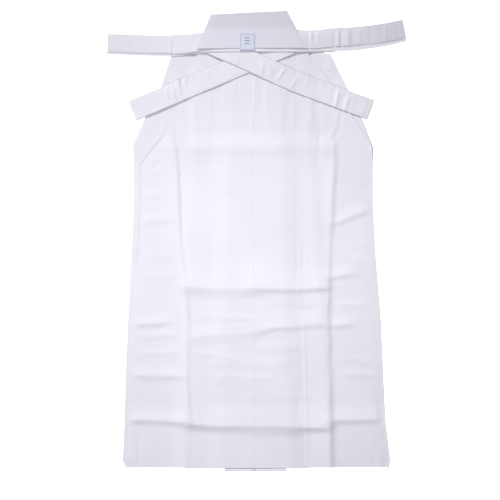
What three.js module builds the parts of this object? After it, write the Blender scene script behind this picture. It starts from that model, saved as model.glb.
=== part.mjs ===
// A white pleated hakama laid flat with its back upwards, ties folded, waist board at the top.
// Millimetres. X is across the garment, Y runs from the hem to the waist board, Z is up from the surface.
// Left and right are the wearer's, which seen from the back are also -X and +X.
import * as THREE from 'three';

// Cloth: one wall, and the gap that sewn or stacked layers keep.
const wall = 1.0;
const gap = 0.3;
const pitch = wall + gap;
const turnSteps = 4;
const longestMitre = 1.15;

// Front: length under its waistband, pleats with their edges at the hem and at the waist.
const frontLength = 910.7;
const pleatDepthHem = 48;
const pleatDepthWaist = 32;
const rampRun = 8;
const edgeClearance = 1.5;
const centreSeamInset = 20;
const frontPleats = [
  { name: 'centre', side: 'right', hem: 0, waist: -13 },
  { name: 'second right', side: 'right', hem: 54, waist: 25 },
  { name: 'outer right', side: 'right', hem: 109, waist: 65 },
  { name: 'second left', side: 'left', hem: -54, waist: -51 },
  { name: 'outer left', side: 'left', hem: -109, waist: -91 },
];

// Back: length up to the edge that the waist board covers, and its inverted centre pleat.
const backLength = 925;
const underlayCentre = -2;
const underlayHalfHem = 68;
const underlayHalfWaist = 44;
const underlayDrop = 6.5;
const foldGap = 0.8;
const stackRamp = 14;
const plateauRamp = 12;
const sideLevel = 1;
const plateauLevel = 3;
const underlayLevel = 4;
const stackLevel = underlayLevel + 2;
const leastColumn = 0.4;

// Crotch gussets between front and back, from the hem to the fork.
const gussetHeight = 430;
const gussetHemWidth = 58;
const gussetForkWidth = 10;

// Waistband across the top of the front.
const bandBottom = 911;
const bandWidth = 34;
const bandThickness = 1;
const bandLeft = -178;
const bandRight = 150;

// Waist board, its bend line and the label on it.
const boardThickness = 3.5;
const boardBendY = 964;
const boardTilt = THREE.MathUtils.degToRad(11);
const boardCorners = {
  bottomLeft: new THREE.Vector2(-133, 917),
  bottomRight: new THREE.Vector2(112, 915),
  topLeft: new THREE.Vector2(-100, 994),
  topRight: new THREE.Vector2(67, 1002),
};
const boardRows = [0, 0.3, 0.58, 0.8, 1];
const boardColumns = [0, 0.5, 1];
const boardProbe = 6;
const labelThickness = 0.8;
const labelBox = { left: -36.5, right: -3.5, bottom: 917.5, top: 952.5 };

// Ties: widths, and the step of the stations along them.
const backTieWidth = 40;
const frontTieWidth = 45;
const stationStep = 18;
const supportMargin = 0.35;
const footprintMargin = 1.5;

// The outline from hem to waist: the silhouette is the front, the back is set in above the side seams.
// The crease columns are the long pressed lines on the back, the fold column its centre edge.
const outlineColumns = [
  'y', 'frontLeft', 'backLeft', 'creaseLeft', 'fold', 'creaseRight', 'backRight', 'frontRight',
];
const outline = [
  [0, -288, -287.5, -153, -5.5, 162, 290.5, 291],
  [14, -295, -294.5, -153, -5.5, 162, 294, 294.5],
  [100, -291, -290.5, -149, -5.5, 161, 283.5, 284],
  [202, -288, -287.5, -154, -5.5, 159, 278.5, 279],
  [321, -283.5, -283, -152, -5.5, 156, 273.5, 274],
  [477, -275, -274.5, -159, -6.5, 159, 260.5, 261],
  [587, -270, -264.5, -164, -8.5, 165, 255.5, 256],
  [664, -270, -258, -167, -10, 170, 255.5, 256],
  [706, -272.5, -233, -172, -10, 170, 253, 256.5],
  [748, -255, -188, -179, -7, 170, 222, 240],
  [784, -238, -179, -179, -5, 168, 192, 224],
  [835, -211, -165, -170, -3.5, 160, 171, 199.5],
  [875, -198, -145, -160, -3.5, 150, 140, 179.5],
  [frontLength, -186, -130, -150, -3.5, 140, 113, 162.5],
  [backLength, -180, -121, -150, -3.5, 140, 99, 152],
].map((row) => Object.fromEntries(outlineColumns.map((column, k) => [column, row[k]])));

// Creases pressed into the back stand up as crests: a line from x to x, y to y, with its height and
// how far it slopes away above it, towards the waist, and below it, towards the hem.
const crossColumns = ['name', 'fromX', 'toX', 'fromY', 'toY', 'height', 'above', 'below'];
const crossCreases = [
  ['lower', -158, 162, 92, 88, 3.0, 30, 15],
  ['middle', -162, 158, 396, 392, 3.0, 28, 15],
  ['hip', -160, 166, 700, 706, 2.2, 30, 14],
  ['knee', -150, 152, 286, 317, 1.4, 22, 14],
  ['left lower', -285, -150, 104, 98, 2.4, 26, 14],
  ['left knee', -270, -195, 314, 318, 1.8, 20, 12],
  ['left shin', -270, -160, 201, 198, 1.5, 20, 14],
  ['left thigh', -262, -190, 539, 543, 1.0, 18, 12],
  ['right lower', 162, 286, 101, 104, 2.4, 26, 14],
  ['right knee', 160, 215, 312, 316, 1.2, 18, 12],
  ['right middle', 160, 215, 416, 424, 1.6, 20, 12],
  ['right thigh', 165, 255, 537, 565, 1.8, 22, 14],
].map((row) => Object.fromEntries(crossColumns.map((column, k) => [column, row[k]])));
const crossEnd = 24;

// The long creases follow the outline's crease columns and slope away to the left and to the right.
const longCreases = [
  { column: 'creaseLeft', height: 2.0, left: 26, right: 12 },
  { column: 'creaseRight', height: 2.0, left: 24, right: 14 },
];
const looseness = 0.8;
const highestRelief = 4.2;
const reliefTop = 745;
const reliefFade = 50;
const sideFade = 26;

const frontRowsY = [0, 14, 100, 202, 321, 477, 587, 664, 706, 748, 784, 835, 875, frontLength];
const backRowsY = [
  0, 14, 48, 76, 90, 103, 122, 160, 184, 200, 222, 266, 290, 304, 316, 336, 378, 394, 418, 440, 477, 522, 540,
  558, 582, 626, 664, 688, 704, 732, 748, 784, 835, 875, frontLength, backLength,
];

function lerp(a, b, t) {
  return a + (b - a) * t;
}

// One column of the outline at height y.
function outlineAt(column, y) {
  let below = 0;
  while (below < outline.length - 2 && outline[below + 1].y <= y) below += 1;
  const lower = outline[below];
  const upper = outline[below + 1];
  const t = THREE.MathUtils.clamp((y - lower.y) / (upper.y - lower.y), 0, 1);
  return lerp(lower[column], upper[column], t);
}

function heightOfLevel(level) {
  return wall / 2 + level * pitch;
}

function pleatEdge(pleat, y) {
  return lerp(pleat.hem, pleat.waist, y / frontLength);
}

function pleatDepth(y) {
  return lerp(pleatDepthHem, pleatDepthWaist, y / frontLength);
}

function underlayHalf(y) {
  return lerp(underlayHalfHem, underlayHalfWaist, y / backLength);
}

// A crest's height at a signed distance from its line, with its own slope on each side.
function crest(distance, height, before, after) {
  return height * Math.max(0, 1 - Math.max(distance / after, -distance / before));
}

// How far the back stands off the layers below it, by its looseness and its creases.
function reliefAt(x, y) {
  let height = looseness;
  for (const crease of crossCreases) {
    const along = (x - crease.fromX) / (crease.toX - crease.fromX);
    const line = lerp(crease.fromY, crease.toY, THREE.MathUtils.clamp(along, 0, 1));
    const fromEnd = Math.min(x - crease.fromX, crease.toX - x);
    const strength = THREE.MathUtils.smoothstep(fromEnd, -crossEnd, crossEnd);
    height += crest(y - line, crease.height * strength, crease.below, crease.above);
  }
  for (const crease of longCreases) {
    height += crest(x - outlineAt(crease.column, y), crease.height, crease.left, crease.right);
  }
  const fromSide = Math.min(x - outlineAt('backLeft', y), outlineAt('backRight', y) - x);
  const calm = 1 - THREE.MathUtils.smoothstep(y, reliefTop - reliefFade, reliefTop);
  return Math.min(height, highestRelief) * THREE.MathUtils.smoothstep(fromSide, 0, sideFade) * calm;
}

// The half round of a folded layer: its outer face reaches x, on the side given by sign.
function turn(section, x, sign, fromZ, toZ) {
  const radius = Math.abs(fromZ - toZ) / 2;
  const centreX = x - sign * (wall / 2 + radius);
  const centreZ = (fromZ + toZ) / 2;
  const upwards = toZ > fromZ ? 1 : -1;
  for (let step = 0; step <= turnSteps; step += 1) {
    const angle = -Math.PI / 2 + (Math.PI * step) / turnSteps;
    section.push({
      x: centreX + sign * radius * Math.cos(angle),
      z: centreZ + upwards * radius * Math.sin(angle),
    });
  }
}

// A knife pleat: up over its own depth, back under itself, and out again on the surface.
function addPleat(section, edge, depth, sign) {
  section.push({ x: edge - sign * rampRun, z: heightOfLevel(0) });
  section.push({ x: edge - sign * edgeClearance, z: heightOfLevel(2) });
  turn(section, edge + sign * depth, sign, heightOfLevel(2), heightOfLevel(1));
  turn(section, edge, -sign, heightOfLevel(1), heightOfLevel(0));
}

function frontSection(side, y) {
  const pleats = frontPleats.filter((pleat) => pleat.side === side);
  const centre = pleatEdge(frontPleats[0], y);
  const depth = pleatDepth(y);
  const section = [];
  if (side === 'right') {
    section.push({ x: centre + centreSeamInset + gap, z: heightOfLevel(2) });
    turn(section, centre + depth, 1, heightOfLevel(2), heightOfLevel(1));
    turn(section, centre, -1, heightOfLevel(1), heightOfLevel(0));
    for (const pleat of pleats.slice(1)) addPleat(section, pleatEdge(pleat, y), depth, 1);
    section.push({ x: outlineAt('frontRight', y), z: heightOfLevel(0) });
    return section;
  }
  section.push({ x: centre + centreSeamInset, z: heightOfLevel(2) });
  section.push({ x: centre - edgeClearance, z: heightOfLevel(2) });
  section.push({ x: centre - rampRun, z: heightOfLevel(0) });
  for (const pleat of pleats) addPleat(section, pleatEdge(pleat, y), depth, -1);
  section.push({ x: outlineAt('frontLeft', y), z: heightOfLevel(0) });
  return section;
}

// Where the back climbs onto the front's pleats, on the side given by sign.
function plateauEdge(sign, y) {
  const outer = sign > 0 ? frontPleats[2] : frontPleats[4];
  return pleatEdge(outer, y) + sign * (pleatDepth(y) + edgeClearance);
}

// The level of the back's face at x: side, over the front's pleats, over its own centre pleat.
function faceLevel(x, y) {
  const sign = x < underlayCentre ? -1 : 1;
  const toPlateau = sign * (plateauEdge(sign, y) - x) + plateauRamp;
  const toStack = sign * (underlayCentre - x) + underlayHalf(y) + edgeClearance + stackRamp;
  const climb = THREE.MathUtils.clamp(toPlateau / plateauRamp, 0, 1);
  const stack = THREE.MathUtils.clamp(toStack / stackRamp, 0, 1);
  return sideLevel + (plateauLevel - sideLevel) * climb + (stackLevel - plateauLevel) * stack;
}

// The face's columns from the side to the centre pleat, kept apart where they crowd at the waist.
function faceColumns(side, sign, y) {
  const edge = outlineAt(side === 'left' ? 'backLeft' : 'backRight', y);
  const slopes = longCreases[side === 'left' ? 0 : 1];
  const crease = outlineAt(slopes.column, y);
  const plateau = plateauEdge(sign, y);
  const stack = underlayCentre + sign * (underlayHalf(y) + edgeClearance);
  const wanted = [
    crease - slopes.left,
    crease,
    crease + slopes.right,
    (edge + crease) / 2,
    plateau + sign * plateauRamp,
    plateau,
    (plateau + stack) / 2,
    stack + sign * stackRamp,
    stack,
  ];
  const columns = wanted.map((x) => Math.min(sign * x, sign * edge - edgeClearance)).sort((a, b) => b - a);
  columns.unshift(sign * edge);
  for (let k = 1; k < columns.length; k += 1) {
    columns[k] = Math.min(columns[k], columns[k - 1] - leastColumn);
  }
  return columns.map((x) => sign * x);
}

function backSection(side, y) {
  const sign = side === 'left' ? -1 : 1;
  const section = faceColumns(side, sign, y).map((x) => ({ x, z: heightOfLevel(faceLevel(x, y)) }));
  const half = underlayHalf(y);
  const fold = outlineAt('fold', y) + sign * (foldGap / 2);
  section.push({ x: underlayCentre + (sign * half) / 2, z: heightOfLevel(stackLevel) });
  turn(section, fold, -sign, heightOfLevel(stackLevel), heightOfLevel(underlayLevel + 1));
  const hanging = section.length;
  const deepest = underlayCentre + sign * half;
  turn(section, deepest, sign, heightOfLevel(underlayLevel + 1), heightOfLevel(underlayLevel));
  section.push({ x: underlayCentre + (sign * half) / 2, z: heightOfLevel(underlayLevel) });
  section.push({ x: underlayCentre + (sign * gap) / 2, z: heightOfLevel(underlayLevel) });
  section.forEach((point, index) => {
    point.z += reliefAt(point.x, y);
    point.drop = index >= hanging ? underlayDrop : 0;
  });
  return section;
}

// A closed wall: centre points in rows, each moved out both ways along its normal, edges closed.
function wallGeometry(points, normals, thickness) {
  const rows = points.length;
  const columns = points[0].length;
  const positions = [];
  const moved = new THREE.Vector3();
  for (const side of [1, -1]) {
    for (let i = 0; i < rows; i += 1) {
      for (let j = 0; j < columns; j += 1) {
        moved.copy(normals[i][j]).multiplyScalar((side * thickness) / 2).add(points[i][j]);
        positions.push(moved.x, moved.y, moved.z);
      }
    }
  }
  const outer = (i, j) => i * columns + j;
  const inner = (i, j) => rows * columns + i * columns + j;
  const triangles = [];
  const quad = (a, b, c, d) => triangles.push(a, b, c, a, c, d);
  for (let i = 0; i < rows - 1; i += 1) {
    for (let j = 0; j < columns - 1; j += 1) {
      quad(outer(i, j), outer(i, j + 1), outer(i + 1, j + 1), outer(i + 1, j));
      quad(inner(i, j), inner(i + 1, j), inner(i + 1, j + 1), inner(i, j + 1));
    }
    quad(outer(i, 0), outer(i + 1, 0), inner(i + 1, 0), inner(i, 0));
    quad(outer(i, columns - 1), inner(i, columns - 1), inner(i + 1, columns - 1), outer(i + 1, columns - 1));
  }
  for (let j = 0; j < columns - 1; j += 1) {
    quad(outer(0, j), inner(0, j), inner(0, j + 1), outer(0, j + 1));
    quad(outer(rows - 1, j), outer(rows - 1, j + 1), inner(rows - 1, j + 1), inner(rows - 1, j));
  }
  if (enclosedVolume(positions, triangles) < 0) triangles.reverse();
  const geometry = new THREE.BufferGeometry();
  geometry.setAttribute('position', new THREE.Float32BufferAttribute(positions, 3));
  geometry.setIndex(triangles);
  geometry.computeVertexNormals();
  return geometry;
}

function enclosedVolume(positions, triangles) {
  const corner = (index) => new THREE.Vector3().fromArray(positions, index * 3);
  let volume = 0;
  for (let k = 0; k < triangles.length; k += 3) {
    const a = corner(triangles[k]);
    volume += a.dot(corner(triangles[k + 1]).cross(corner(triangles[k + 2]))) / 6;
  }
  return volume;
}

// Normals across a row of a panel, lengthened at corners so that the wall keeps its thickness.
function sectionNormals(row) {
  return row.map((point, j) => {
    const before = row[Math.max(j - 1, 0)];
    const after = row[Math.min(j + 1, row.length - 1)];
    const into = new THREE.Vector3().subVectors(point, before).setY(0).normalize();
    const out = new THREE.Vector3().subVectors(after, point).setY(0).normalize();
    const along = new THREE.Vector3().addVectors(into, out).normalize();
    const inside = j > 0 && j < row.length - 1;
    const mitre = inside ? Math.min(1 / Math.max(along.dot(into), 0.5), longestMitre) : 1;
    return new THREE.Vector3(-along.z, 0, along.x).multiplyScalar(mitre);
  });
}

function panelGeometry(sectionAt, rowsY) {
  const points = rowsY.map((y, i) =>
    sectionAt(y).map((point) => new THREE.Vector3(point.x, i === 0 ? y - (point.drop ?? 0) : y, point.z)),
  );
  return wallGeometry(points, points.map(sectionNormals), wall);
}

// What ties and board lie on: functions giving the top of each placed piece, or nothing outside it.
const supports = [];

function insideRows(left, right, x, y, top) {
  return y >= 0 && y <= top && x >= outlineAt(left, y) && x <= outlineAt(right, y);
}

supports.push((x, y) => {
  if (!insideRows('frontLeft', 'frontRight', x, y, frontLength)) return 0;
  const onPleats = x > plateauEdge(-1, y) && x < plateauEdge(1, y);
  return heightOfLevel(onPleats ? 2 : 0) + wall / 2;
});
supports.push((x, y) => {
  if (!insideRows('backLeft', 'backRight', x, y, backLength)) return 0;
  return heightOfLevel(faceLevel(x, y)) + reliefAt(x, y) + wall / 2;
});
supports.push((x, y) => {
  const onBand = x > bandLeft && x < bandRight && y > bandBottom && y < bandBottom + bandWidth;
  return onBand ? bandThickness : 0;
});

function supportAt(x, y) {
  return Math.max(0, ...supports.map((topAt) => topAt(x, y)));
}

// A placed layer of a tie as a support: the height of its top within its width.
function layerSupport(stations, width) {
  return (x, y) => {
    let top = 0;
    for (let k = 0; k < stations.length - 1; k += 1) {
      const a = stations[k];
      const b = stations[k + 1];
      const run = { x: b.x - a.x, y: b.y - a.y };
      const length = Math.hypot(run.x, run.y);
      const along = ((x - a.x) * run.x + (y - a.y) * run.y) / length;
      const across = Math.abs((x - a.x) * run.y - (y - a.y) * run.x) / length;
      if (along < -footprintMargin || along > length + footprintMargin) continue;
      if (across > width / 2 + footprintMargin) continue;
      top = Math.max(top, lerp(a.z, b.z, THREE.MathUtils.clamp(along / length, 0, 1)) + wall / 2);
    }
    return top;
  };
}

// Points every stationStep along a route of straight or gently bent stretches.
function stationsAlong(route) {
  const stations = [{ x: route[0].x, y: route[0].y }];
  for (let k = 1; k < route.length; k += 1) {
    const length = Math.hypot(route[k].x - route[k - 1].x, route[k].y - route[k - 1].y);
    const count = Math.max(1, Math.round(length / stationStep));
    for (let step = 1; step <= count; step += 1) {
      stations.push({
        x: lerp(route[k - 1].x, route[k].x, step / count),
        y: lerp(route[k - 1].y, route[k].y, step / count),
      });
    }
  }
  return stations;
}

// Lays one layer of a tie on everything placed so far, and adds it to the supports.
function layLayer(route, width) {
  const stations = stationsAlong(route);
  const reach = [-1, -0.5, 0, 0.5, 1];
  stations.forEach((station, k) => {
    const before = stations[Math.max(k - 1, 0)];
    const after = stations[Math.min(k + 1, stations.length - 1)];
    const run = new THREE.Vector2(after.x - before.x, after.y - before.y).normalize();
    let top = 0;
    for (const along of reach) {
      for (const across of reach) {
        const x = station.x + run.x * along * stationStep - run.y * across * (width / 2);
        const y = station.y + run.y * along * stationStep + run.x * across * (width / 2);
        top = Math.max(top, supportAt(x, y));
      }
    }
    station.z = top > 0 ? top + supportMargin + wall / 2 : wall / 2;
  });
  for (let pass = 0; pass < 2; pass += 1) {
    for (let k = 1; k < stations.length - 1; k += 1) {
      stations[k].z = Math.max(stations[k].z, (stations[k - 1].z + stations[k + 1].z) / 2);
    }
  }
  supports.push(layerSupport(stations, width));
  return stations;
}

// The half round that joins the end of one layer to the start of the next, above or below it.
function layerTurn(from, to, outward) {
  const radius = (to.z - from.z) / 2;
  const bend = [];
  for (let step = 1; step < turnSteps; step += 1) {
    const angle = -Math.PI / 2 + (Math.PI * step) / turnSteps;
    const reachOut = Math.abs(radius) * Math.cos(angle);
    const share = step / turnSteps;
    bend.push({
      x: lerp(from.x, to.x, share) + outward.x * reachOut,
      y: lerp(from.y, to.y, share) + outward.y * reachOut,
      z: (from.z + to.z) / 2 + radius * Math.sin(angle),
    });
  }
  return bend;
}

// A tie: its layers in order along the cloth, joined by half rounds, swept as a flat ribbon.
function tieGeometry(layers, width) {
  const spine = [];
  const across = [];
  layers.forEach((stations, index) => {
    const forward = new THREE.Vector2(
      stations[stations.length - 1].x - stations[0].x,
      stations[stations.length - 1].y - stations[0].y,
    ).normalize();
    const sign = index % 2 === 0 ? 1 : -1;
    stations.forEach((station, k) => {
      const before = stations[Math.max(k - 1, 0)];
      const after = stations[Math.min(k + 1, stations.length - 1)];
      const run = new THREE.Vector2(after.x - before.x, after.y - before.y).normalize();
      spine.push(new THREE.Vector3(station.x, station.y, station.z));
      across.push(new THREE.Vector3(-run.y * sign, run.x * sign, 0));
    });
    if (index === layers.length - 1) return;
    const next = layers[index + 1];
    for (const point of layerTurn(stations[stations.length - 1], next[0], forward)) {
      spine.push(new THREE.Vector3(point.x, point.y, point.z));
      across.push(across[across.length - 1].clone());
    }
  });
  const points = [];
  const normals = [];
  spine.forEach((centre, k) => {
    const into = new THREE.Vector3().subVectors(centre, spine[Math.max(k - 1, 0)]).normalize();
    const out = new THREE.Vector3().subVectors(spine[Math.min(k + 1, spine.length - 1)], centre).normalize();
    const tangent = new THREE.Vector3().addVectors(into, out).normalize();
    const normal = new THREE.Vector3().crossVectors(tangent, across[k]).normalize();
    normals.push([normal, normal]);
    points.push([-1, 1].map((side) => centre.clone().addScaledVector(across[k], (side * width) / 2)));
  });
  return wallGeometry(points, normals, wall);
}

// The routes of the front ties: out of the waistband, folded back, then over the back, at last in folded
// lengths whose hidden layers share the lowest one. slip is how far the top layer lies off it.
const frontTies = {
  right: {
    start: { x: bandRight + gap, y: 933 },
    fold: { x: 172, y: 933 },
    bend: { x: 112, y: 936 },
    path: [{ x: 74.8, y: 928.2 }, { x: -273.6, y: 782.6 }],
    slip: { x: 1.2, y: 2.4 },
  },
  left: {
    start: { x: bandLeft - gap, y: 925 },
    fold: { x: -190, y: 925 },
    bend: { x: -140, y: 930 },
    path: [
      { x: -107, y: 932.5 },
      { x: 0.5, y: 885.4 },
      { x: 47.4, y: 863 },
      { x: 99.5, y: 841 },
      { x: 164.3, y: 817.6 },
      { x: 251.3, y: 785.2 },
    ],
    slip: { x: -1, y: 1.8 },
  },
};

function layFrontTie(tie) {
  const lead = layLayer([tie.start, tie.fold], frontTieWidth);
  const lowest = layLayer([tie.fold, tie.bend, ...tie.path], frontTieWidth);
  const slipped = tie.path.map((point) => ({ x: point.x + tie.slip.x, y: point.y + tie.slip.y }));
  return [lead, lowest, layLayer(slipped.reverse(), frontTieWidth)];
}

// The routes of the back ties, from the waist board out to the fold and back under the board.
const backTies = {
  left: {
    over: [
      { x: -104, y: 934 },
      { x: -122, y: 933 },
      { x: -146, y: 930 },
      { x: -168, y: 928 },
      { x: -190, y: 930 },
      { x: -234, y: 930 },
      { x: -300, y: 933 },
      { x: -328, y: 933.5 },
    ],
    under: [
      { x: -328, y: 929 },
      { x: -300, y: 927.5 },
      { x: -278, y: 926 },
      { x: -234, y: 924.8 },
      { x: -212, y: 923.7 },
      { x: -168, y: 924.6 },
      { x: -146, y: 926.7 },
      { x: -100, y: 929 },
      { x: 160, y: 931 },
    ],
  },
  right: {
    over: [
      { x: 84, y: 942 },
      { x: 100, y: 941 },
      { x: 117, y: 939.5 },
      { x: 139, y: 941 },
      { x: 161, y: 945.3 },
      { x: 205, y: 946.3 },
      { x: 227, y: 948.4 },
      { x: 271, y: 953.2 },
      { x: 293, y: 957.2 },
      { x: 324.5, y: 963.8 },
    ],
    under: [
      { x: 324.5, y: 956.5 },
      { x: 293, y: 948.2 },
      { x: 271, y: 944 },
      { x: 249, y: 941.4 },
      { x: 227, y: 937.8 },
      { x: 205, y: 935.3 },
      { x: 183, y: 934.6 },
      { x: 139, y: 932.3 },
      { x: 107, y: 930 },
      { x: -186, y: 930 },
    ],
  },
};

// The waist board: flat where it lies on the ties, bent up above them.
function boardPoints(lift) {
  return boardRows.map((up) =>
    boardColumns.map((across) => {
      const left = boardCorners.bottomLeft.clone().lerp(boardCorners.topLeft, up);
      const right = boardCorners.bottomRight.clone().lerp(boardCorners.topRight, up);
      const spot = left.lerp(right, across);
      return new THREE.Vector3(spot.x, spot.y, lift + Math.max(spot.y - boardBendY, 0) * Math.tan(boardTilt));
    }),
  );
}

function upNormals(points) {
  return points.map((row) => row.map(() => new THREE.Vector3(0, 0, 1)));
}

function slabGeometry(corners, bottom, thickness) {
  const shape = new THREE.Shape(corners.map((corner) => new THREE.Vector2(corner.x, corner.y)));
  const geometry = new THREE.ExtrudeGeometry(shape, { depth: thickness, bevelEnabled: false });
  geometry.translate(0, 0, bottom);
  return geometry;
}

function gussetGeometry(sign) {
  const inner = underlayCentre + (sign * gap) / 2;
  const corners = [
    { x: inner, y: 0 },
    { x: inner + sign * gussetHemWidth, y: 0 },
    { x: inner + sign * gussetForkWidth, y: gussetHeight },
    { x: inner, y: gussetHeight },
  ];
  if (sign < 0) corners.reverse();
  return slabGeometry(corners, heightOfLevel(3) - wall / 2, wall);
}

function bandGeometry() {
  const corners = [
    { x: bandLeft, y: bandBottom },
    { x: bandRight, y: bandBottom },
    { x: bandRight, y: bandBottom + bandWidth },
    { x: bandLeft, y: bandBottom + bandWidth },
  ];
  return slabGeometry(corners, 0, bandThickness);
}

function cloth(colour) {
  return new THREE.MeshStandardMaterial({ color: colour, roughness: 0.85, metalness: 0 });
}

const garment = new THREE.Group();

function addPiece(name, geometry, material) {
  const mesh = new THREE.Mesh(geometry, material);
  mesh.name = name;
  garment.add(mesh);
}

addPiece('front_panel_left', panelGeometry((y) => frontSection('left', y), frontRowsY), cloth('#e3e1ee'));
addPiece('front_panel_right', panelGeometry((y) => frontSection('right', y), frontRowsY), cloth('#e1dfed'));
addPiece('gusset_left', gussetGeometry(-1), cloth('#dfddeb'));
addPiece('gusset_right', gussetGeometry(1), cloth('#dfddeb'));
addPiece('back_panel_left', panelGeometry((y) => backSection('left', y), backRowsY), cloth('#ebe9f4'));
addPiece('back_panel_right', panelGeometry((y) => backSection('right', y), backRowsY), cloth('#e8e6f2'));
addPiece('front_waistband', bandGeometry(), cloth('#dedceb'));

const rightTieLayers = layFrontTie(frontTies.right);
const leftTieLayers = layFrontTie(frontTies.left);
addPiece('front_tie_right', tieGeometry(rightTieLayers, frontTieWidth), cloth('#e6e4f1'));
addPiece('front_tie_left', tieGeometry(leftTieLayers, frontTieWidth), cloth('#eae8f3'));

const leftUnder = layLayer(backTies.left.under, backTieWidth);
const rightUnder = layLayer(backTies.right.under, backTieWidth);
const leftOver = layLayer(backTies.left.over, backTieWidth);
const rightOver = layLayer(backTies.right.over, backTieWidth);
addPiece('back_tie_left', tieGeometry([leftOver, leftUnder], backTieWidth), cloth('#e2e0ee'));
addPiece('back_tie_right', tieGeometry([rightOver, rightUnder], backTieWidth), cloth('#d6d4e6'));

// The board rests on the highest layer under its flat part.
let boardRest = 0;
for (let x = boardCorners.bottomLeft.x; x <= boardCorners.bottomRight.x; x += boardProbe) {
  for (let y = boardCorners.bottomRight.y; y <= boardBendY; y += boardProbe) {
    boardRest = Math.max(boardRest, supportAt(x, y));
  }
}
const boardLift = boardRest + gap + boardThickness / 2;
const board = boardPoints(boardLift);
addPiece('waist_board', wallGeometry(board, upNormals(board), boardThickness), cloth('#d5d3e3'));

const labelCorners = [
  { x: labelBox.left, y: labelBox.bottom },
  { x: labelBox.right, y: labelBox.bottom },
  { x: labelBox.right, y: labelBox.top },
  { x: labelBox.left, y: labelBox.top },
];
const labelBottom = boardLift + boardThickness / 2 + gap;
addPiece('label', slabGeometry(labelCorners, labelBottom, labelThickness), cloth('#d3ddf1'));

// The origin is under the middle of the whole garment, on the surface.
const box = new THREE.Box3().setFromObject(garment);
garment.position.set(-(box.min.x + box.max.x) / 2, -(box.min.y + box.max.y) / 2, -box.min.z);
garment.updateMatrixWorld(true);

export default garment;
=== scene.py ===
"""A white pleated hakama laid flat with its back upwards.

Lengths are millimetres in the garment's own plan: x across it, y from the hem to the waist board,
z up from the surface. place() turns them into metres in the row frame.
"""
import math
from collections import namedtuple

import bpy
import numpy as np
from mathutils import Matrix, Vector


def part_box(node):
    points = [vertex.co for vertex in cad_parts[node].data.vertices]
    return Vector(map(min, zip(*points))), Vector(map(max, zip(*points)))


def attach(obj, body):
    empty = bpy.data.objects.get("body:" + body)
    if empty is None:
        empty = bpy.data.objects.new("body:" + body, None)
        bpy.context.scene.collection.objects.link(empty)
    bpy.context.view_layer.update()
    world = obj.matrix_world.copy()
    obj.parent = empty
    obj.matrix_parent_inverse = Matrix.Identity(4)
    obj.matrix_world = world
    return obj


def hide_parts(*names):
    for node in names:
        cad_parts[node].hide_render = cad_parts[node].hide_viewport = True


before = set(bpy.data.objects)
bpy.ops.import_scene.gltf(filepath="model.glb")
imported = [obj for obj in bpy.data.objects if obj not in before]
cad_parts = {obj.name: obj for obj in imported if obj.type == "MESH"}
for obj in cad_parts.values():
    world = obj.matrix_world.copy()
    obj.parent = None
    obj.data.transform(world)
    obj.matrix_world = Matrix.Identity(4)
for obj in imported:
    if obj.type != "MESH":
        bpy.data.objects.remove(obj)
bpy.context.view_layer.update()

MM = 0.001

# The garment's plan in the row frame: the right edge of the left gusset and the hem.
GUSSET_EDGE = -2.15
ORIGIN_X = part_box("gusset_left")[1].x / MM - GUSSET_EDGE
ORIGIN_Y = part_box("gusset_left")[0].y / MM

# Cloth: one wall of the solids with its gap, and the thinner shells shown here.
WALL = 1.0
GAP = 0.3
PITCH = WALL + GAP
SHELL = 0.7
TURN_STEPS = 6

# Front: its length and its five knife pleats, from the centre outwards on the right, then the left.
FRONT_LENGTH = 910.7
PLEAT_DEPTH_HEM = 48
PLEAT_DEPTH_WAIST = 32
RAMP_RUN = 8
PLEAT_FOOT = 4
EDGE_CLEARANCE = 1.5
SEAM_INSET = 20
FRONT_SINK = 0.15
Pleat = namedtuple("Pleat", "side hem waist")
PLEATS = [
    Pleat("right", 0, -13),
    Pleat("right", 54, 25),
    Pleat("right", 109, 65),
    Pleat("left", -54, -51),
    Pleat("left", -109, -91),
]

# Back: its length and its inverted centre pleat.
BACK_LENGTH = 925
UNDERLAY_CENTRE = -2
UNDERLAY_HALF_HEM = 68
UNDERLAY_HALF_WAIST = 44
UNDERLAY_DROP = 6.5
UNDERLAY_LIFT = 1.9
UNDERLAY_LIFT_ROWS = (-2, 0.5)
UNDERLAY_COLUMNS = 10
BACK_COLUMNS = 88
HEM_RUN = 14
HEM_BOW = 2.2
HEM_BOW_LEFT = (-166, -150)
HEM_BOW_RIGHT = (112, 124)
FOLD_GAP = 0.03
FOLD_STOP = 0.9
FOLD_RIDGE = 0.2
FOLD_RIDGE_RUN = 9
FOLD_CORNER = 0.06
EDGE_COLUMN = 0.35
EDGE_SINK = 0.12
EDGE_SINK_RUN = 8
STACK_RAMP = 46
PLATEAU_RAMP = 30
SIDE_LEVEL = 1
PLATEAU_LEVEL = 3
UNDERLAY_LEVEL = 4
STACK_LEVEL = 6

# The back's side edges where they stand off the front, and its sunk corner at the hem.
Lift = namedtuple("Lift", "height run starts ends")
LEFT_LIFT = Lift(1.5, 6, (430, 480), (715, 745))
RIGHT_LIFT = Lift(1.7, 7, (675, 715), None)
CORNER_DROP = 1.1
CORNER_COLUMNS = (268, 292)
CORNER_ROWS = (40, 110)

# Front: the strip that shows past the back's edge, and how it ripples.
BARE_RANGE = (-6, 14)
BARE_ROWS = (640, 720)
BARE_LIFT = 1.3
BARE_SEAM = 0.2
BARE_SEAM_RANGE = (-7, -1)

GUSSET_HEIGHT = 430
GUSSET_HEM = 58
GUSSET_FORK = 10

BAND_BOTTOM = 911
BAND_WIDTH = 34
BAND_LEFT = -178
BAND_RIGHT = 150

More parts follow.
